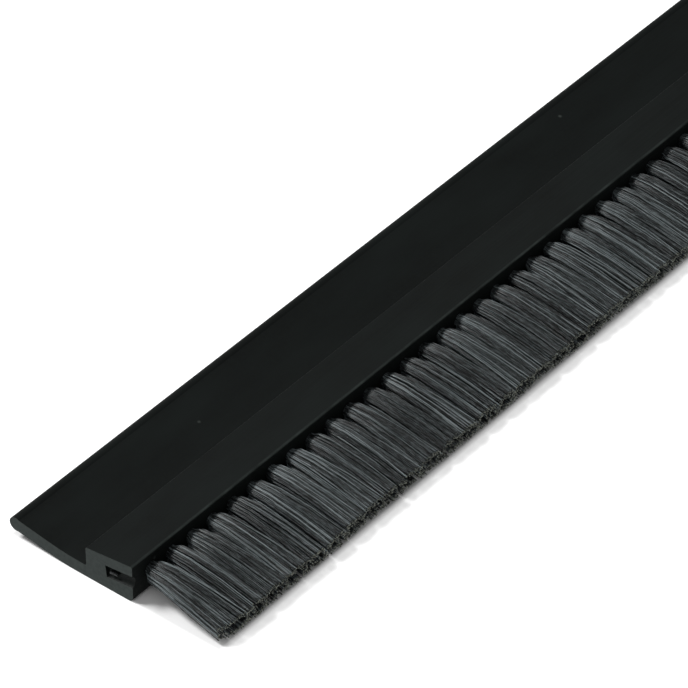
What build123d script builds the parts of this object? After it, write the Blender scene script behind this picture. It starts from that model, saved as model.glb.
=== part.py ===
"""Brush seal strip: an extruded flexible plastic carrier with one row of bristle tufts.

Frame: X across the strip towards the bristles, Y along its length, Z up. The origin is on the flat
underside, at the middle of the block's width and of the strip's length. Millimetres and degrees.
"""

import os
from math import cos, floor, pi, radians, sin, sqrt, tan

from build123d import *

# Carrier: overall length, and the raised block that holds the tufts
length = 200.0
block_width = 9.8
front_height = 7.5
block_lean = 7.0
edge_radius = 0.35
toe_radius = 1.0

# Carrier: the thin flange behind the block, cupped upwards, with a bead along its rim
flange_width = 16.4
flange_thickness = 2.45
flange_flat = 1.4
flange_lift = 8.5
bend_radius = 45.0
foot_radius = 0.3
rim_radius = 1.35

# Row of drilled holes; the strip is cut to length through the first one
pitch = 5.0
hole_radius = 1.3
hole_depth = 5.6
hole_height = 4.3
hole_lean = 7.0
cut_past_axis = 0.55
end_wall = 1.2

# Flat wire anchors, driven across the holes
anchor_width = 1.6
anchor_thickness = 0.3
anchor_rise = 0.8
anchor_end_clearance = 0.02

# Bristle tufts: filaments folded round an anchor, fanned out and trimmed in one line
bristle_length = 17.8
bristle_drop = 2.2
neck_length = 0.1
bulge_reach = 3.0
bulge_rise = 0.15
bulge_share = 0.9
bulge_thickness = 3.0
tip_thickness = 3.1
tip_gap = 0.16
end_fan = 0.9
wander = 0.2
shank_clearance = 0.05
fold_clearance = 0.02
lobe_count = 4
lobe_depth = 0.14

# Places that follow from the sizes
front_x = block_width / 2
back_x = -block_width / 2
step_height = front_height - block_width * tan(radians(block_lean))
near_end = -length / 2
first_axis = near_end - cut_past_axis
last_axis_limit = length / 2 - hole_radius - end_wall
tuft_count = floor((last_axis_limit - first_axis) / pitch)
hole_axes = [first_axis + pitch * index for index in range(tuft_count + 1)]

# Plane across the holes at their mouths: its X runs along the strip and its Z out of the holes
mouth_plane = Plane(
    origin=(front_x, 0, hole_height),
    x_dir=(0, 1, 0),
    z_dir=(cos(radians(hole_lean)), 0, sin(radians(hole_lean))),
)
mouth_run_out = hole_radius * tan(radians(hole_lean))
anchor_plane = mouth_plane.offset(anchor_rise - hole_depth)

os.makedirs("parts", exist_ok=True)


def lobed_section(near_half: float, far_half: float, thickness: float) -> list:
    """Corners of a tuft's section about (0, 0): a ring of lobes, with a flat on each side."""
    corners = []
    for index in range(2 * lobe_count):
        angle = pi * (index + 0.5) / lobe_count
        depth = 1 - lobe_depth * (index % 2)
        half_width = far_half if cos(angle) > 0 else near_half
        corners.append((half_width * depth * cos(angle), thickness / 2 * depth * sin(angle)))
    return corners


def wander_after(index: int) -> float:
    """How far the gap after tuft number index has strayed along the strip at the tips."""
    return wander * sin(2.4 * index)


# Wire anchors: one across each hole, from wall to wall; the end cut went through the first
anchor_length = 2 * (sqrt(hole_radius**2 - (anchor_thickness / 2) ** 2) - anchor_end_clearance)
with BuildPart() as anchors:
    with BuildSketch(anchor_plane):
        with Locations(*[(axis, 0) for axis in hole_axes]):
            Rectangle(anchor_length, anchor_thickness)
    extrude(amount=anchor_width)
    split(bisect_by=Plane.XZ.offset(-near_end), keep=Keep.BOTTOM)
anchors.part.label = "wire_anchors"
export_step(anchors.part, "parts/wire_anchors.step")

# Carrier: flange, rim bead and block in one section, extruded, then drilled
with BuildPart() as carrier:
    with BuildSketch(Plane.XZ) as section:
        with BuildLine():
            inner_run = Line((0, flange_thickness / 2), (back_x - flange_flat, flange_thickness / 2))
            bend = JernArc(
                start=inner_run @ 1,
                tangent=inner_run % 1,
                radius=bend_radius - flange_thickness / 2,
                arc_size=-flange_lift,
            )
            outer_reach = (bend @ 1).X - (back_x - flange_width + rim_radius)
            outer_run = Line(bend @ 1, bend @ 1 + (bend % 1) * (outer_reach / cos(radians(flange_lift))))
            rim_centre = outer_run @ 1
            offset(amount=flange_thickness / 2, side=Side.BOTH)
        make_face()
        with Locations(rim_centre):
            Circle(rim_radius)
        with BuildSketch() as block:
            with BuildLine():
                top_corners = [(front_x, front_height), (back_x, step_height)]
                Polyline((back_x, 0), (front_x, 0), *top_corners, close=True)
            make_face()
            toe = block.vertices().sort_by_distance((front_x, 0))[0]
            fillet(toe, toe_radius)
            brow = block.vertices().sort_by_distance((front_x, front_height))[0]
            step = block.vertices().sort_by_distance((back_x, step_height))[0]
            fillet([brow, step], edge_radius)
        foot = section.vertices().sort_by_distance((back_x, flange_thickness))[0]
        fillet(foot, foot_radius)
    extrude(amount=length / 2, both=True)
    with BuildSketch(mouth_plane.offset(mouth_run_out)):
        with Locations(*[(axis, 0) for axis in hole_axes]):
            Circle(hole_radius)
    extrude(amount=-(hole_depth + mouth_run_out), mode=Mode.SUBTRACT)
carrier.part.label = "carrier_profile"
export_step(carrier.part, "parts/carrier_profile.step")

# Tufts: a shank that fills its hole round the anchor, a finger that bulges as it leaves the hole, and a
# fan that meets its neighbours
shank_radius = hole_radius - shank_clearance
for number in range(1, tuft_count + 1):
    axis = hole_axes[number]
    near_stray = wander_after(number - 1) if number > 1 else -end_fan
    far_stray = wander_after(number) if number < tuft_count else end_fan
    tip_near = (pitch - tip_gap) / 2 - near_stray
    tip_far = (pitch - tip_gap) / 2 + far_stray
    bulge_near = tip_near * bulge_share
    bulge_far = tip_far * bulge_share
    with BuildPart() as tuft:
        for reach in (-hole_depth, mouth_run_out + neck_length):
            with BuildSketch(mouth_plane.offset(reach)):
                with Locations((axis, 0)):
                    Polygon(*lobed_section(shank_radius, shank_radius, 2 * shank_radius), align=None)
        with BuildSketch(Plane.YZ.offset(front_x + bulge_reach)):
            with Locations((axis, hole_height + bulge_rise)):
                Polygon(*lobed_section(bulge_near, bulge_far, bulge_thickness), align=None)
        with BuildSketch(Plane.YZ.offset(front_x + bristle_length)):
            with Locations((axis, hole_height - bristle_drop)):
                Polygon(*lobed_section(tip_near, tip_far, tip_thickness), align=None)
        loft(ruled=True)
        with BuildSketch(anchor_plane.offset(-fold_clearance)):
            with Locations((axis, 0)):
                Rectangle(4 * hole_radius, anchor_thickness + 2 * fold_clearance)
        extrude(amount=anchor_width + 2 * fold_clearance, mode=Mode.SUBTRACT)
    tuft.part.label = f"tuft_{number:02d}"
    export_step(tuft.part, f"parts/tuft_{number:02d}.step")
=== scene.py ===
"""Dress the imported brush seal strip: an extruded black carrier, nylon tufts and steel wire anchors.

Everything is in metres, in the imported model's frame: X runs across the strip towards the bristles,
Y along its length, away from the end that is cut through a hole, and Z up from the flat underside.
"""

import logging
from dataclasses import dataclass, field
from enum import Enum
from math import cos, pi, radians, sin
from typing import Any, ClassVar

import bpy
import numpy as np
from mathutils import Euler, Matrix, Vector


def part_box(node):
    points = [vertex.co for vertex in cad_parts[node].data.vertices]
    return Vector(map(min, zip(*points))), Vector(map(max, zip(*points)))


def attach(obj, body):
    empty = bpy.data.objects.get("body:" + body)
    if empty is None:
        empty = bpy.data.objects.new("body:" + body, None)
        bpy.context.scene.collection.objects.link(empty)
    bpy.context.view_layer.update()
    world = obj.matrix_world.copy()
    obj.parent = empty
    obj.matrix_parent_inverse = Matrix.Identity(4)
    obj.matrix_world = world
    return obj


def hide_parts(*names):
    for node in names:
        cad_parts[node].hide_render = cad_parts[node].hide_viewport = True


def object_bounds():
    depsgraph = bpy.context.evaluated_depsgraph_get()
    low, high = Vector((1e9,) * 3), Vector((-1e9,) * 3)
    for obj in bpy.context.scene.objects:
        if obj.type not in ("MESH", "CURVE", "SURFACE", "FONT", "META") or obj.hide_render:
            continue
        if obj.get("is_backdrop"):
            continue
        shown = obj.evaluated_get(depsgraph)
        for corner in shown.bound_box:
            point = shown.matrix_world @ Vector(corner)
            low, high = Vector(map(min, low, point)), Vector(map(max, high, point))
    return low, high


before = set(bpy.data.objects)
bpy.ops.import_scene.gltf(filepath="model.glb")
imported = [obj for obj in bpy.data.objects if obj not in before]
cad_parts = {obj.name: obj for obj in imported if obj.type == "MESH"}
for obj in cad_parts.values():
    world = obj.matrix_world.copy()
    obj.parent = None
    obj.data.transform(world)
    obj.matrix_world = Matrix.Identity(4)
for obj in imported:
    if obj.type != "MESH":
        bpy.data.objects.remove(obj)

MM = 0.001
# The mix node has sockets for every kind of value under the same names, so they go by number
MIX_SHARE, MIX_FIRST, MIX_SECOND, MIX_RESULT = 0, 6, 7, 2
TINY = 1e-9  # keeps a filament on the axis itself from dividing by 0
log = logging.getLogger("brush_seal_strip")


class Slot(Enum):
    """The record's material slots."""

    PLASTIC = "flexible_plastic"
    FILAMENT = "nylon_filament"
    STEEL = "steel_wire"


class Leg(Enum):
    """The two legs of a folded filament, by the side of the wire anchor that each passes."""

    UPPER = 1
    LOWER = -1


def linear(colour: str) -> tuple[float, float, float, float]:
    """Turn an sRGB hex colour into Blender's linear colour.

    Args:
        colour: six hex digits after a hash sign.

    Returns:
        Red, green, blue and an alpha of 1.
    """
    channels = [int(colour[place:place + 2], 16) / 255 for place in (1, 3, 5)]
    # The curve of the sRGB standard: a straight line for the darkest values, and a power above it
    red, green, blue = (
        c / 12.92 if c <= 0.04045 else ((c + 0.055) / 1.055) ** 2.4 for c in channels)
    return red, green, blue, 1.0


def add_node(
        tree: bpy.types.NodeTree, kind: str, inputs: tuple | dict = (),
        **settings: Any) -> bpy.types.Node:
    """Add a node with its settings, its constant inputs and its links.

    Args:
        tree: the node tree that gets the node.
        kind: the node's type.
        inputs: the inputs in the node's own order, or by name or number. Each is a value, another
            node's output, or another node, whose first output is taken.
        settings: the node's own properties.

    Returns:
        The new node.
    """
    node = tree.nodes.new(kind)
    for name, value in settings.items():
        setattr(node, name, value)
    for key, value in (inputs if isinstance(inputs, dict) else dict(enumerate(inputs))).items():
        source = value.outputs[0] if isinstance(value, bpy.types.Node) else value
        if isinstance(source, bpy.types.NodeSocket):
            tree.links.new(source, node.inputs[key])
        else:
            node.inputs[key].default_value = source
    return node


def new_material(name: str) -> tuple[bpy.types.Material, bpy.types.NodeTree]:
    """Make a material with an empty node tree.

    Args:
        name: the material's name.

    Returns:
        The material and its tree.
    """
    material = bpy.data.materials.new(name)
    material.use_nodes = True
    material.node_tree.nodes.clear()
    return material, material.node_tree


def grain_pattern(
        tree: bpy.types.NodeTree, grain: tuple[float, ...], detail: float = 2.0) -> bpy.types.Node:
    """Lay an uneven pattern over the frame's own axes, with a grain of its own size along each.

    Args:
        tree: the material's node tree.
        grain: the grain's size along X, Y and Z, in millimetres.
        detail: how many finer layers the pattern has.

    Returns:
        The pattern's last node.
    """
    place = add_node(tree, "ShaderNodeTexCoord")
    scale = tuple(1 / (size * MM) for size in grain)
    mapping = add_node(tree, "ShaderNodeMapping", {
        "Vector": place.outputs["Object"], "Scale": scale})
    return add_node(tree, "ShaderNodeTexNoise", {"Vector": mapping, "Scale": 1.0, "Detail": detail})


@dataclass(frozen=True)
class ExtrudedPvc:
    """Flexible PVC, carbon black, extruded: a matt skin with faint lines along the pull.

    Where the strip was sawn to length, the face is rougher and paler. The front edge carries a
    painted highlight, patchy along its length, and handling has left a few small scuffs. A span
    gives the two strengths of a pattern between which its effect grows.
    """

    name: str = "extruded_flexible_pvc"
    skin_dark: str = "#0c0f0e"
    skin_light: str = "#111514"
    cut_dark: str = "#2b302f"
    cut_light: str = "#404644"
    scuff: str = "#4a4f4c"
    # painted highlight along the block's front edge
    painted_edge_highlight: str = "#363c3a"
    roughness: float = 0.55
    cut_roughness: float = 0.7
    uneven_roughness: float = 0.06
    roughness_span: tuple[float, float] = (0.3, 0.7)
    ior: float = 1.52
    specular: float = 0.1
    cloud_mm: float = 7.0
    cloud_length_mm: float = 21.0
    cloud_span: tuple[float, float] = (0.35, 0.65)
    mottle_mm: float = 0.7
    mottle_span: tuple[float, float] = (0.45, 0.72)
    mottle_share: float = 0.5
    line_mm: float = 0.35  # coarser than the real lines, which are too fine to show
    line_length_mm: float = 60.0
    line_relief_mm: float = 0.03
    line_strength: float = 0.12
    grit_mm: float = 0.12  # coarser than the real grit, which is too fine to show
    grit_relief_mm: float = 0.02
    grit_strength: float = 0.35
    cut_depth_mm: float = 0.01
    cut_facing: tuple[float, float] = (0.9, 0.95)
    # where the painted highlight on the front edge lies, and how patchy it is
    edge_mm: float = 0.5
    edge_reach: float = 0.3
    edge_fall: tuple[float, float] = (1.2, 0.9)
    edge_facing: tuple[float, float] = (0.2, 0.6)
    highlight_patch_mm: tuple[float, float, float] = (1.5, 4.0, 1.5)
    highlight_patch_span: tuple[float, float] = (0.35, 0.7)
    faintest_highlight: float = 0.35
    scuff_spacing_mm: float = 9.0
    scuff_size: tuple[float, float] = (0.05, 0.02)
    scuff_patch_mm: float = 12.0
    scuff_span: tuple[float, float] = (0.52, 0.6)
    scuff_share: float = 0.6

    def material(self) -> bpy.types.Material:
        """Make the skin and the cut face as one material.

        Returns:
            The material.
        """
        material, tree = new_material(self.name)
        cloud = grain_pattern(tree, (self.cloud_mm, self.cloud_length_mm, self.cloud_mm))
        mottle = grain_pattern(tree, (self.mottle_mm,) * 3, detail=3.0)
        lines = grain_pattern(tree, (self.line_mm, self.line_length_mm, self.line_mm))
        grit = grain_pattern(tree, (self.grit_mm,) * 3, detail=1.0)
        clouded = add_node(tree, "ShaderNodeMapRange", (cloud, *self.cloud_span))
        mottled = add_node(tree, "ShaderNodeMapRange", (
            mottle, *self.mottle_span, 0.0, self.mottle_share))
        skin = linear(self.skin_dark)
        for share, colour in (
                (clouded, self.skin_light),
                (mottled, self.skin_light),
                (self.scuffs(tree), self.scuff),
                # the last is a painted highlight along the block's front edge
                (self.front_edge_highlight(tree), self.painted_edge_highlight)):
            skin = add_node(tree, "ShaderNodeMix", {
                MIX_SHARE: share, MIX_FIRST: skin, MIX_SECOND: linear(colour)},
                data_type="RGBA").outputs[MIX_RESULT]
        cut = add_node(tree, "ShaderNodeMix", {
            MIX_SHARE: mottle, MIX_FIRST: linear(self.cut_dark),
            MIX_SECOND: linear(self.cut_light)}, data_type="RGBA").outputs[MIX_RESULT]
        end = self.cut_face(tree)
        surface = add_node(tree, "ShaderNodeMix", {
            MIX_SHARE: end, MIX_FIRST: skin, MIX_SECOND: cut}, data_type="RGBA").outputs[MIX_RESULT]
        even = add_node(tree, "ShaderNodeMapRange", (
            end, 0.0, 1.0, self.roughness, self.cut_roughness))
        uneven = add_node(tree, "ShaderNodeMapRange", (
            lines, *self.roughness_span, -self.uneven_roughness, self.uneven_roughness))
        roughness = add_node(tree, "ShaderNodeMath", (even, uneven), operation="ADD")
        pulled = add_node(tree, "ShaderNodeBump", {
            "Height": lines, "Strength": self.line_strength, "Distance": self.line_relief_mm * MM})
        gritty = add_node(tree, "ShaderNodeBump", {
            "Height": grit, "Strength": self.grit_strength, "Distance": self.grit_relief_mm * MM,
            "Normal": pulled})
        shader = add_node(tree, "ShaderNodeBsdfPrincipled", {
            "Base Color": surface, "Roughness": roughness, "IOR": self.ior,
            "Specular IOR Level": self.specular, "Normal": gritty})
        add_node(tree, "ShaderNodeOutputMaterial", {"Surface": shader})
        return material

    def cut_face(self, tree: bpy.types.NodeTree) -> bpy.types.Node:
        """Tell the square-cut ends from the skin by their place and direction.

        Args:
            tree: the material's node tree.

        Returns:
            A node that gives 1 on the cut ends and 0 on the skin.
        """
        half_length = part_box(Carrier.node)[1].y
        depth = self.cut_depth_mm * MM
        place = add_node(tree, "ShaderNodeTexCoord")
        direction = add_node(tree, "ShaderNodeSeparateXYZ", (place.outputs["Normal"],))
        position = add_node(tree, "ShaderNodeSeparateXYZ", (place.outputs["Object"],))
        along = add_node(tree, "ShaderNodeMath", (direction.outputs["Y"],), operation="ABSOLUTE")
        from_middle = add_node(
            tree, "ShaderNodeMath", (position.outputs["Y"],), operation="ABSOLUTE")
        at_end = add_node(tree, "ShaderNodeMapRange", (
            from_middle, half_length - 2 * depth, half_length - depth))
        facing = add_node(tree, "ShaderNodeMapRange", (along, *self.cut_facing))
        return add_node(tree, "ShaderNodeMath", (at_end, facing), operation="MULTIPLY")

    def front_edge_highlight(self, tree: bpy.types.NodeTree) -> bpy.types.Node:
        """Find the top of the block's front edge, which gets a painted highlight.

        Args:
            tree: the material's node tree.

        Returns:
            A node that rises to 1 along the edge.
        """
        front, _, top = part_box(Carrier.node)[1]
        reach = self.edge_mm * MM
        start, end = (top - share * reach for share in self.edge_fall)
        place = add_node(tree, "ShaderNodeTexCoord")
        direction = add_node(tree, "ShaderNodeSeparateXYZ", (place.outputs["Normal"],))
        position = add_node(tree, "ShaderNodeSeparateXYZ", (place.outputs["Object"],))
        # the painted highlight is patchy along the edge
        highlight_patches = grain_pattern(tree, self.highlight_patch_mm)
        shares = (
            add_node(tree, "ShaderNodeMapRange", (
                position.outputs["X"], front - reach, front - self.edge_reach * reach)),
            add_node(tree, "ShaderNodeMapRange", (position.outputs["Z"], start, end)),
            add_node(tree, "ShaderNodeMapRange", (direction.outputs["Z"], *self.edge_facing)),
            add_node(tree, "ShaderNodeMapRange", (highlight_patches, *self.highlight_patch_span, self.faintest_highlight, 1.0)),
        )
        edge = shares[0]
        for share in shares[1:]:
            edge = add_node(tree, "ShaderNodeMath", (edge, share), operation="MULTIPLY")
        return edge

    def scuffs(self, tree: bpy.types.NodeTree) -> bpy.types.Node:
        """Scatter the few small pale scuffs that handling leaves on the skin.

        Args:
            tree: the material's node tree.

        Returns:
            A node that is above 0 on a scuff.
        """
        place = add_node(tree, "ShaderNodeTexCoord")
        cells = add_node(tree, "ShaderNodeTexVoronoi", {
            "Vector": place.outputs["Object"],
            "Scale": 1 / (self.scuff_spacing_mm * MM)}, feature="F1")
        spot = add_node(tree, "ShaderNodeMapRange", (cells.outputs["Distance"], *self.scuff_size))
        patch = grain_pattern(tree, (self.scuff_patch_mm,) * 3, detail=1.0)
        few = add_node(tree, "ShaderNodeMapRange", (patch, *self.scuff_span, 0.0, self.scuff_share))
        return add_node(tree, "ShaderNodeMath", (spot, few), operation="MULTIPLY")


@dataclass(frozen=True)
class NylonFilament:
    """Nylon monofilament, grey-black, drawn: smooth, with a long soft highlight.

    Each filament carries a tone of its own, so that single ones show in the tuft. Short pale and
    dark streaks along each filament are painted sheen, which breaks its highlight into dashes. A
    span gives the two strengths of a tone or pattern between which its effect grows.
    """

    name: str = "drawn_nylon_filament"
    dark: str = "#030404"
    middle: str = "#1b2122"
    light: str = "#6e7779"
    roughness: float = 0.4
    ior: float = 1.53
    specular: float = 0.4
    middle_span: tuple[float, float] = (0.34, 0.6)
    light_span: tuple[float, float] = (0.7, 0.95)
    # short pale and dark streaks along each filament: painted sheen that breaks its highlight into
    # dashes
    sheen_streak_mm: float = 0.2  # about a filament's own thickness
    sheen_streak_length_mm: float = 1.5
    painted_dull_span: tuple[float, float] = (0.3, 0.5)
    painted_dull_share: float = 0.5
    painted_sheen_span: tuple[float, float] = (0.45, 0.7)
    painted_sheen_share: float = 0.4

    def material(self) -> bpy.types.Material:
        """Make the filament's material, which reads the tone that each filament carries.

        Returns:
            The material.
        """
        material, tree = new_material(self.name)
        tone = add_node(tree, "ShaderNodeAttribute", attribute_name=Tuft.TONE).outputs["Fac"]
        # painted sheen: pale and dark dashes along each filament
        sheen_streaks = grain_pattern(tree, (self.sheen_streak_length_mm, self.sheen_streak_mm, self.sheen_streak_mm))
        colour = linear(self.dark)
        for effect, over in (
                ((tone, *self.middle_span), self.middle),
                ((tone, *self.light_span), self.light),
                # the last two are painted sheen, dimming and lightening the filament in short dashes
                ((sheen_streaks, *self.painted_dull_span, self.painted_dull_share, 0.0), self.dark),
                ((sheen_streaks, *self.painted_sheen_span, 0.0, self.painted_sheen_share), self.light)):
            colour = add_node(tree, "ShaderNodeMix", {
                MIX_SHARE: add_node(tree, "ShaderNodeMapRange", effect), MIX_FIRST: colour,
                MIX_SECOND: linear(over)}, data_type="RGBA").outputs[MIX_RESULT]
        shader = add_node(tree, "ShaderNodeBsdfPrincipled", {
            "Base Color": colour, "Roughness": self.roughness, "IOR": self.ior,
            "Specular IOR Level": self.specular})
        add_node(tree, "ShaderNodeOutputMaterial", {"Surface": shader})
        return material


@dataclass(frozen=True)
class TrimmedNylon:
    """The sheared end of a nylon filament: crushed and dull, so it is paler than its side."""

    name: str = "trimmed_nylon_end"
    dark: str = "#5a5d54"
    light: str = "#a2a697"
    roughness: float = 0.75
    ior: float = 1.53

    def material(self) -> bpy.types.Material:
        """Make the cut end's material.

        Returns:
            The material.
        """
        material, tree = new_material(self.name)
        tone = add_node(tree, "ShaderNodeAttribute", attribute_name=Tuft.TONE).outputs["Fac"]
        colour = add_node(tree, "ShaderNodeMix", {
            MIX_SHARE: tone, MIX_FIRST: linear(self.dark), MIX_SECOND: linear(self.light)},
            data_type="RGBA").outputs[MIX_RESULT]
        shader = add_node(tree, "ShaderNodeBsdfPrincipled", {
            "Base Color": colour, "Roughness": self.roughness, "IOR": self.ior})
        add_node(tree, "ShaderNodeOutputMaterial", {"Surface": shader})
        return material


@dataclass(frozen=True)
class DrawnSteel:
    """Flat steel wire, drawn and left dull, with fine lines along it and a little stain."""

    name: str = "drawn_steel_wire"
    bright: str = "#4a4c4d"
    stained: str = "#2c2d2d"
    roughness: float = 0.5
    line_mm: float = 0.05
    line_length_mm: float = 2.0
    line_relief_mm: float = 0.01
    line_strength: float = 0.3
    stain_mm: float = 0.6
    stain_span: tuple[float, float] = (0.4, 0.65)

    def material(self) -> bpy.types.Material:
        """Make the wire's material.

        Returns:
            The material.
        """
        material, tree = new_material(self.name)
        lines = grain_pattern(tree, (self.line_mm, self.line_length_mm, self.line_mm))
        stain = grain_pattern(tree, (self.stain_mm,) * 3)
        share = add_node(tree, "ShaderNodeMapRange", (stain, *self.stain_span))
        colour = add_node(tree, "ShaderNodeMix", {
            MIX_SHARE: share, MIX_FIRST: linear(self.bright), MIX_SECOND: linear(self.stained)},
            data_type="RGBA").outputs[MIX_RESULT]
        drawn = add_node(tree, "ShaderNodeBump", {
            "Height": lines, "Strength": self.line_strength, "Distance": self.line_relief_mm * MM})
        shader = add_node(tree, "ShaderNodeBsdfPrincipled", {
            "Base Color": colour, "Metallic": 1.0, "Roughness": self.roughness, "Normal": drawn})
        add_node(tree, "ShaderNodeOutputMaterial", {"Surface": shader})
        return material


@dataclass
class FilamentBlank:
    """One straight filament, modelled once: a square tube with a ring at each station."""

    stations: int
    sides: int = 4
    station_of: np.ndarray = field(init=False)  # the station of each vertex
    ring: np.ndarray = field(init=False)  # the place of each vertex round the filament's axis
    faces: list[list[int]] = field(init=False)  # the vertices of each face
    is_end: list[bool] = field(init=False)  # whether each face is a cut end

    def __post_init__(self) -> None:
        """Model the blank and read its rings, sides and ends."""
        length = self.stations - 1
        bpy.ops.object.select_all(action="DESELECT")
        bpy.ops.mesh.primitive_cylinder_add(
            vertices=self.sides, radius=1.0, depth=float(length), end_fill_type="NGON")
        blank = bpy.context.object
        bpy.ops.object.mode_set(mode="EDIT")
        bpy.ops.mesh.select_mode(type="EDGE")
        bpy.ops.mesh.select_all(action="DESELECT")
        bpy.ops.object.mode_set(mode="OBJECT")
        vertices = blank.data.vertices
        for edge in blank.data.edges:
            low, high = (vertices[index].co.z for index in edge.vertices)
            edge.select = abs(high - low) > length / 2
        bpy.ops.object.mode_set(mode="EDIT")
        bpy.ops.mesh.subdivide(number_cuts=self.stations - 2)
        bpy.ops.object.mode_set(mode="OBJECT")
        places = np.array([vertex.co for vertex in blank.data.vertices])
        self.station_of = np.rint(places[:, 2] + length / 2).astype(int)
        self.ring = places[:, :2]
        self.faces = [list(face.vertices) for face in blank.data.polygons]
        self.is_end = [abs(face.normal.z) > 0.5 for face in blank.data.polygons]
        bpy.data.objects.remove(blank)


@dataclass(frozen=True)
class Section:
    """An upright section of a tuft, at one distance from the carrier's front face."""

    reach: float
    width_share: float  # how much of the pitch the tuft fills
    stray_share: float  # how much of the straying at the tips it shows
    half_height: float
    rise: float  # how far its middle lies above the hole's axis
    squareness: float  # from 0 where the bundle is round to 1 where it is square
    lower_spread: float  # how much wider the lowest filaments lie than the rest


@dataclass
class Tuft:
    """One tuft: filaments folded in half round the wire anchor, fanned out and trimmed."""

    TONE: ClassVar[str] = "filament_tone"
    # Reach, width share, stray share, half height, rise, squareness and lower spread
    SECTIONS: ClassVar[tuple[Section, ...]] = (
        Section(0.35 * MM, 0.51, 0.05, 1.20 * MM, 0.0 * MM, 0.0, 1.0),
        Section(1.05 * MM, 0.73, 0.15, 1.47 * MM, 0.04 * MM, 0.15, 1.22),
        Section(1.4 * MM, 0.745, 0.18, 1.49 * MM, 0.05 * MM, 0.15, 1.22),
        Section(4.5 * MM, 0.82, 0.4, 1.54 * MM, 0.06 * MM, 0.15, 1.2),
        Section(11.0 * MM, 0.92, 0.72, 1.55 * MM, -0.80 * MM, 0.3, 1.12),
        Section(17.8 * MM, 1.0, 1.0, 1.50 * MM, -2.20 * MM, 0.5, 1.04),
    )
    STATIONS: ClassVar[int] = 19  # nine on each leg, and the fold

    number: int
    axis: float  # the place of its hole along the strip
    near_stray: float  # how far its near edge has strayed along the strip at the tips
    far_stray: float
    near_short: float  # how much shorter its near corner is trimmed
    far_short: float
    near_gap: float  # how wide it parts from the tuft before it at the tips
    far_gap: float
    rng: np.random.Generator
    blank: FilamentBlank
    front: float  # the place of the carrier's front face
    # The bundle, and the hole and anchor that hold it
    folded: int = 70
    radius: float = 0.095 * MM
    pitch: float = 5.0 * MM
    hole_radius: float = 1.3 * MM
    hole_depth: float = 5.6 * MM
    hole_height: float = 4.3 * MM
    hole_lean: float = radians(7.0)
    anchor_rise: float = 0.8 * MM
    anchor_half_thickness: float = 0.15 * MM
    fold_rise: float = 0.85  # how high over the hole's end the innermost folds lie, in anchor rises
    fold_span: float = 0.7  # how much deeper the outermost folds lie, in anchor rises
    mouth_depth: float = 0.1 * MM
    mouth_fill: float = 0.96  # how much of the hole's mouth the bundle fills
    # How the filaments lie in the fan
    evenness: tuple[float, float] = (0.2, 0.8)  # where in its own room each filament may lie
    outer_bias: float = 0.42  # 0.5 fills the bundle evenly, and less crowds its outside
    flank: float = 0.9  # how far out the fan's sides are flattened
    corner_fill: float = 0.8  # how far a square section reaches into its corners
    wholly_low: float = 0.5  # how far below the middle a filament counts as wholly low
    jitter: float = 0.1  # how far aside a filament leans at the tips, in half widths
    stray_share: float = 0.1  # how many filaments lean further
    stray_jitter: float = 0.25
    stray_limit: float = 1.04  # how far out any filament may lie, in half widths
    bow: float = 0.05 * MM
    lowest: float = 0.2 * MM  # how near the floor a filament's axis may come
    parting_depth: float = 0.6  # how far below the middle a gap between tufts starts to open
    # How the tips are trimmed
    crushed: float = 1.5  # how much thicker the shears leave a cut end
    crush_length: float = 0.3 * MM
    ragged: float = 0.13 * MM  # how unequal the filaments of one tuft are
    uneven: float = 0.4 * MM  # how unequal the tufts are
    broken_share: float = 0.05
    broken_length: float = 6.0  # how short the broken filaments may be, in ragged lengths
    round_start: float = 0.3  # where the splayed corner of an end tuft starts to be shorter

    def build(self, filament: bpy.types.Material, trimmed: bpy.types.Material) -> bpy.types.Object:
        """Build the tuft's mesh and dress it.

        Args:
            filament: the material of the filaments' sides.
            trimmed: the material of their cut ends.

        Returns:
            The tuft's object.
        """
        points = self.paths()
        along = np.gradient(points, axis=1)
        along /= np.linalg.norm(along, axis=2, keepdims=True)
        side = np.array([0.0, 1.0, 0.0]) - along * along[..., 1:2]
        side /= np.linalg.norm(side, axis=2, keepdims=True)
        up = np.cross(along, side)
        thickness = np.full(self.STATIONS, self.radius)
        thickness[[0, -1]] *= self.crushed
        station, ring = self.blank.station_of, self.blank.ring
        vertices = points[:, station] + thickness[station][None, :, None] * (
            side[:, station] * ring[None, :, :1] + up[:, station] * ring[None, :, 1:])
        count = len(station)
        faces = []
        for first in range(0, self.folded * count, count):
            faces.extend([[index + first for index in face] for face in self.blank.faces])
        name = f"tuft_{self.number:02d}_filaments"
        mesh = bpy.data.meshes.new(name)
        mesh.from_pydata(vertices.reshape(-1, 3).tolist(), [], faces)
        materials = self.blank.is_end * self.folded
        mesh.polygons.foreach_set("material_index", materials)
        mesh.polygons.foreach_set("use_smooth", [not is_end for is_end in materials])
        tones = np.repeat(self.rng.random(self.folded), count).astype(np.float32)
        mesh.attributes.new(self.TONE, "FLOAT", "POINT").data.foreach_set("value", tones)
        mesh.materials.append(filament)
        mesh.materials.append(trimmed)
        mesh.update()
        tuft = bpy.data.objects.new(name, mesh)
        bpy.context.scene.collection.objects.link(tuft)
        return tuft

    def paths(self) -> np.ndarray:
        """Lay every filament from one tip into the hole, round the anchor and out to the other tip.

        Returns:
            The filaments' points, as an array of filament, station and coordinate.
        """
        across = self.spread(self.rng.permutation(self.folded))
        depth = (self.spread(self.rng.permutation(self.folded)) / 2 + 0.5) ** self.outer_bias
        upper = self.leg(across, depth, Leg.UPPER)
        lower = self.leg(across, depth, Leg.LOWER)
        fold_reach = self.anchor_rise * (self.fold_rise - self.fold_span * depth) - self.hole_depth
        fold = self.in_hole(fold_reach, across * self.shank_radius(), np.zeros(self.folded))
        return np.concatenate([upper, fold[:, None], lower[:, ::-1]], axis=1)

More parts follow.
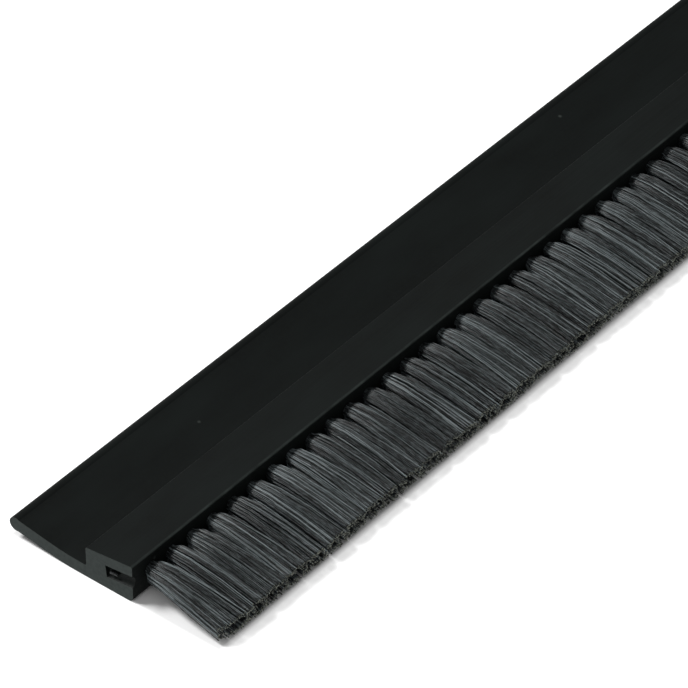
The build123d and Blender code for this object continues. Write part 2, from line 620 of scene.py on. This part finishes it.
    def spread(self, order: np.ndarray) -> np.ndarray:
        """Turn the order of the filaments into even places from -1 to 1, each a little off.

        Args:
            order: each filament's place in the row.

        Returns:
            The places.
        """
        return (order + self.rng.uniform(*self.evenness, self.folded)) / self.folded * 2 - 1

    def shank_radius(self) -> float:
        """How far from the hole's axis a filament's own axis may lie inside the hole."""
        return self.hole_radius - self.radius

    def in_hole(self, reach: np.ndarray, across: np.ndarray, height: np.ndarray) -> np.ndarray:
        """Turn places on the leaning hole's own axes into places in the frame.

        Args:
            reach: distance out of the hole's mouth, along the hole.
            across: distance from the hole's axis along the strip.
            height: distance above the hole's axis.

        Returns:
            The places, as an array of points.
        """
        lean_cos, lean_sin = cos(self.hole_lean), sin(self.hole_lean)
        return np.stack([
            self.front + reach * lean_cos - height * lean_sin,
            self.axis + across,
            self.hole_height + reach * lean_sin + height * lean_cos], axis=-1)

    def leg(self, across: np.ndarray, depth: np.ndarray, leg: Leg) -> np.ndarray:
        """Lay one leg of each filament, from its tip back to the anchor's deep edge.

        Args:
            across: each filament's place along the strip in its hole, from -1 to 1.
            depth: how far from the anchor it lies, from 0 to 1.
            leg: the side of the anchor that the leg passes.

        Returns:
            The leg's points, as an array of filament, station and coordinate.
        """
        count = self.folded
        radius = self.shank_radius()
        # Its place in the round mouth of the hole, and how far aside the leg strays at the tips
        room = np.sqrt(1 - (self.mouth_fill * across) ** 2)
        at_mouth = np.stack([across * self.mouth_fill, depth * room * leg.value], axis=1)
        aside = self.rng.normal(0, self.jitter, (count, 2))
        astray = self.rng.random(count) < self.stray_share
        aside[astray] += self.rng.normal(0, self.stray_jitter, (astray.sum(), 2))
        # In the hole it passes the anchor, clear of the wire's face
        grip = self.anchor_half_thickness + self.radius
        clear = leg.value * np.maximum(grip, depth * room * radius)
        anchor_reach = np.full(count, self.anchor_rise - self.hole_depth)
        shank = self.in_hole(anchor_reach, across * radius, clear)
        mouth = self.in_hole(np.full(count, -self.mouth_depth), *(at_mouth * radius).T)
        # Outside it runs through the tuft's sections, bows a little, and is trimmed
        neck, finger, settled, bulge, middle, end = (
            self.section(at_mouth, aside, section) for section in self.SECTIONS)
        middle += self.rng.normal(0, self.bow, (count, 3)) * np.array([0, 1, 1])
        cut = self.trimmed_off(end)[:, None] / (end[:, :1] - middle[:, :1])
        tip = end + (middle - end) * cut
        back = (middle - tip) / np.linalg.norm(middle - tip, axis=1, keepdims=True)
        crush = tip + back * self.crush_length
        points = np.stack([tip, crush, middle, bulge, settled, finger, neck, mouth, shank], axis=1)
        points[..., 2] = np.maximum(points[..., 2], self.lowest)
        return points

    def trimmed_off(self, ends: np.ndarray) -> np.ndarray:
        """How much shorter than the tuft's full reach each filament is.

        Args:
            ends: the filaments' places at the tuft's full reach.

        Returns:
            The lengths, at least 0.
        """
        count = len(ends)
        off = np.abs(self.rng.normal(0, self.ragged, count) + self.uneven * self.rng.random())
        broken = self.rng.random(count) < self.broken_share
        off += broken * self.rng.random(count) * self.broken_length * self.ragged
        outward = (ends[:, 1] - self.axis) / (self.pitch / 2)
        near = np.clip(-outward - self.round_start, 0, 1)
        far = np.clip(outward - self.round_start, 0, 1)
        return off + near**2 * self.near_short + far**2 * self.far_short

    def section(self, places: np.ndarray, aside: np.ndarray, section: Section) -> np.ndarray:
        """Place the filaments in one of the tuft's upright sections.

        Args:
            places: places on the unit disc, across and up.
            aside: how far off each filament is at the tips, as a share of the section.
            section: the section.

        Returns:
            The places, as an array of points.
        """
        share = section.reach / self.SECTIONS[-1].reach
        length = np.linalg.norm(places, axis=1) + TINY
        widest = np.max(np.abs(places), axis=1) + TINY
        # The round bundle grows squarer towards the tips, and its lower filaments do so first
        low = np.clip(-places[:, 1] / self.wholly_low, 0, 1)
        squareness = section.squareness + (1 - section.squareness) * low
        squared = places * (1 + squareness * self.corner_fill * (length / widest - 1))[:, None]
        squared[:, 0] = np.clip(squared[:, 0], -self.flank, self.flank) / self.flank
        squared = np.clip(squared + aside * share, -self.stray_limit, self.stray_limit)
        half = self.pitch / 2 * section.width_share
        # The lower filaments lie wider, and a gap to the next tuft opens only above them
        spread = 1 + (section.lower_spread - 1) * low
        near = half * (1 if self.near_short else spread)
        far = half * (1 if self.far_short else spread)
        parted = share * np.clip(places[:, 1] + self.parting_depth, 0, 1) / 2
        near = near - parted * self.near_gap - section.stray_share * self.near_stray
        far = far - parted * self.far_gap + section.stray_share * self.far_stray
        width = np.where(squared[:, 0] > 0, far, near) - self.radius
        height = section.half_height - self.radius
        return np.stack([
            np.full(len(places), self.front + section.reach),
            self.axis + squared[:, 0] * width,
            self.hole_height + section.rise + squared[:, 1] * height], axis=1)


@dataclass
class Brush:
    """The row of tufts, each of which replaces its plain solid."""

    cut_past_axis: float = 0.55 * MM  # how far past the axis of the cut hole the strip begins
    end_fan: float = 0.9 * MM  # how far the first and last tuft splay outwards at the tips
    end_short: float = 0.9 * MM
    wander: float = 0.2 * MM  # how far the fans lean along the strip, now one way, now the other
    wander_step: float = 2.4  # radians of a wave from one gap to the next
    wide_gap: float = 0.8 * MM  # how far some neighbours part at the tips
    wide_gap_share: float = 0.3
    seed: int = 20

    def stray_after(self, number: int, count: int) -> float:
        """How far the gap after a tuft has strayed along the strip at the tips.

        Args:
            number: the tuft's number, from 1, or 0 for the near end of the row.
            count: how many tufts the row has.

        Returns:
            The distance towards the far end.
        """
        if number == 0:
            return -self.end_fan
        if number == count:
            return self.end_fan
        return self.wander * sin(self.wander_step * number)

    def build(self) -> list[bpy.types.Object]:
        """Build, dress and attach every tuft.

        Returns:
            The tufts' objects.
        """
        low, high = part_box("carrier_profile")
        first_axis = low.y - self.cut_past_axis
        count = sum(node.startswith("tuft_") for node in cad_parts)
        filament = NylonFilament().material()
        trimmed = TrimmedNylon().material()
        blank = FilamentBlank(Tuft.STATIONS)
        parted = np.random.default_rng(self.seed).random(count + 1) < self.wide_gap_share
        gaps = parted * self.wide_gap
        gaps[[0, -1]] = 0
        pieces = []
        for number in range(1, count + 1):
            tuft = Tuft(
                number=number,
                axis=first_axis + number * Tuft.pitch,
                near_stray=self.stray_after(number - 1, count),
                far_stray=self.stray_after(number, count),
                near_short=self.end_short if number == 1 else 0.0,
                far_short=self.end_short if number == count else 0.0,
                near_gap=gaps[number - 1],
                far_gap=gaps[number],
                rng=np.random.default_rng(self.seed + number),
                blank=blank,
                front=high.x,
            )
            piece = tuft.build(filament, trimmed)
            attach(piece, "root")
            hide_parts(f"tuft_{number:02d}")
            pieces.append(piece)
        return pieces


@dataclass
class Carrier:
    """The extruded carrier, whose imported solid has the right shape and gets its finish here."""

    node: str = "carrier_profile"

    def build(self) -> list[bpy.types.Object]:
        """Dress the carrier's solid and give it back."""
        return [dress(self.node, ExtrudedPvc().material())]


@dataclass
class Anchors:
    """The flat wire anchors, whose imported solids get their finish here."""

    node: str = "wire_anchors"

    def build(self) -> list[bpy.types.Object]:
        """Dress the anchors' solids and give them back."""
        return [dress(self.node, DrawnSteel().material())]


def dress(node: str, material: bpy.types.Material) -> bpy.types.Object:
    """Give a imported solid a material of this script's own.

    Args:
        node: the node's name.
        material: the material that it gets.

    Returns:
        The node's object.
    """
    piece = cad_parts[node]
    piece.data.materials.clear()
    piece.data.materials.append(material)
    return piece


@dataclass(frozen=True)
class Lamp:
    """A square soft lamp, aimed at the strip."""

    name: str
    turn: float  # its direction from the strip, from the -Y axis towards +X
    height: float  # its angle above the floor
    distance: float
    size: float
    power: float

    def hang(self) -> None:
        """Hang the lamp."""
        data = bpy.data.lights.new(self.name, "AREA")
        data.shape = "SQUARE"
        data.size = self.size
        data.energy = self.power
        lamp = bpy.data.objects.new(self.name, data)
        outward = cos(self.height)
        direction = Vector((sin(self.turn) * outward, -cos(self.turn) * outward, sin(self.height)))
        lamp.location = direction * self.distance
        lamp.rotation_euler = direction.to_track_quat("Z", "Y").to_euler()
        bpy.context.scene.collection.objects.link(lamp)


@dataclass
class Studio:
    """A plain white floor under soft light, and the camera at the photograph's angle."""

    LAMPS: ClassVar[tuple[Lamp, ...]] = (
        Lamp("key", turn=radians(-66), height=radians(50), distance=1.4, size=0.4, power=18.0),
        Lamp("fill", turn=radians(42), height=radians(45), distance=1.5, size=1.4, power=2.9),
        Lamp("side", turn=radians(-6), height=radians(28), distance=1.5, size=0.5, power=1.8),
    )

    picture: float = 688.0
    azimuth: float = radians(38.81)
    elevation: float = radians(39.5)
    distance: float = 718 * MM
    focal_pixels: float = 4543.0
    corner_pixel: tuple[float, float] = (131.8, 568.0)
    sensor_mm: float = 36.0
    nearest: float = 0.01
    farthest: float = 50.0
    floor_size: float = 12.0
    floor_colour: str = "#f2f2f2"
    floor_glow: float = 0.45  # given off to the camera alone, so that the floor shows white
    # the glow is held back in a box round the strip: painted shade on the floor under and beside it
    shade_inset: float = 0.5 * MM  # how far inside the strip's outline the glow starts
    shade_edge: float = 0.8 * MM  # how far outside it the glow is full
    light_colour: str = "#ffffff"
    even_light: float = 0.26
    backdrop: float = 1.0

    def build(self) -> None:
        """Build the floor, the world, the lamps and the camera."""
        self.camera()
        self.floor()
        self.world()
        for lamp in self.LAMPS:
            lamp.hang()
        bpy.context.scene.view_settings.view_transform = "Standard"

    def camera(self) -> None:
        """Place the camera so that the block's near front corner shows at its pixel."""
        low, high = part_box("carrier_profile")
        corner = Vector((high.x, low.y, high.z))
        turn = Euler((pi / 2 - self.elevation, 0, self.azimuth)).to_matrix()
        half = self.picture / 2
        across, down = self.corner_pixel
        ray = Vector((across - half, half - down, -self.focal_pixels)).normalized()
        data = bpy.data.cameras.new("camera")
        data.sensor_fit = "HORIZONTAL"
        data.sensor_width = self.sensor_mm
        data.lens = self.focal_pixels / self.picture * self.sensor_mm
        data.clip_start = self.nearest
        data.clip_end = self.farthest
        camera = bpy.data.objects.new("camera", data)
        camera.matrix_world = turn.to_4x4()
        camera.location = corner - turn @ ray * self.distance
        bpy.context.scene.collection.objects.link(camera)
        bpy.context.scene.camera = camera

    def floor(self) -> None:
        """Lay the floor that the strip rests on: it shows white and keeps the strip's shadow, and
        in a box round the strip it has painted shade.
        """
        bpy.ops.object.select_all(action="DESELECT")
        bpy.ops.mesh.primitive_plane_add(size=self.floor_size)
        floor = bpy.context.object
        floor.name = "floor"
        floor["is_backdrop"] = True
        material, tree = new_material("white_floor")
        path = add_node(tree, "ShaderNodeLightPath")
        diffuse = add_node(tree, "ShaderNodeBsdfDiffuse", {"Color": linear(self.floor_colour)})
        # no glow in a box round the strip: painted shade on the floor there
        seen = add_node(tree, "ShaderNodeMath", (
            path.outputs["Is Camera Ray"], self.outside_painted_shade(tree)), operation="MULTIPLY")
        strength = add_node(tree, "ShaderNodeMapRange", (seen, 0.0, 1.0, 0.0, self.floor_glow))
        glow = add_node(tree, "ShaderNodeEmission", {"Strength": strength})
        shader = add_node(tree, "ShaderNodeAddShader", (diffuse, glow))
        add_node(tree, "ShaderNodeOutputMaterial", {"Surface": shader})
        floor.data.materials.append(material)

    def outside_painted_shade(self, tree: bpy.types.NodeTree) -> bpy.types.Node:
        """Tell the open floor from a box round the strip, which has no glow: painted shade.

        Args:
            tree: the floor's node tree.

        Returns:
            A node that gives 0 under the strip and rises to 1 just past its edges.
        """
        low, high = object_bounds()
        place = add_node(tree, "ShaderNodeTexCoord")
        position = add_node(tree, "ShaderNodeSeparateXYZ", (place.outputs["Object"],))
        past = []
        for axis, start, end in (("X", low.x, high.x), ("Y", low.y, high.y)):
            middle, half = (start + end) / 2, (end - start) / 2
            offset = add_node(tree, "ShaderNodeMath", (
                position.outputs[axis], middle), operation="SUBTRACT")
            away = add_node(tree, "ShaderNodeMath", (offset,), operation="ABSOLUTE")
            past.append(add_node(tree, "ShaderNodeMapRange", (
                away, half - self.shade_inset, half + self.shade_edge)))
        return add_node(tree, "ShaderNodeMath", tuple(past), operation="MAXIMUM")

    def world(self) -> None:
        """Set the even light from all round, and the white that the camera sees past the floor."""
        world = bpy.data.worlds.new("studio")
        world.use_nodes = True
        tree = world.node_tree
        tree.nodes.clear()
        path = add_node(tree, "ShaderNodeLightPath")
        seen = add_node(tree, "ShaderNodeMath", (
            path.outputs["Is Camera Ray"], path.outputs["Is Transmission Ray"]),
            operation="MAXIMUM")
        strength = add_node(tree, "ShaderNodeMapRange", (
            seen, 0.0, 1.0, self.even_light, self.backdrop))
        light = add_node(tree, "ShaderNodeBackground", {
            "Color": linear(self.light_colour), "Strength": strength})
        add_node(tree, "ShaderNodeOutputWorld", {"Surface": light})
        bpy.context.scene.world = world


def main() -> None:
    """Dress the strip, report each piece and stage the strip."""
    logging.basicConfig(level=logging.INFO)
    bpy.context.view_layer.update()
    for assembly in (Carrier(), Anchors(), Brush()):
        for piece in assembly.build():
            log.info("%s: %d faces", piece.name, len(piece.data.polygons))
    Studio().build()


if __name__ == "__main__":
    main()
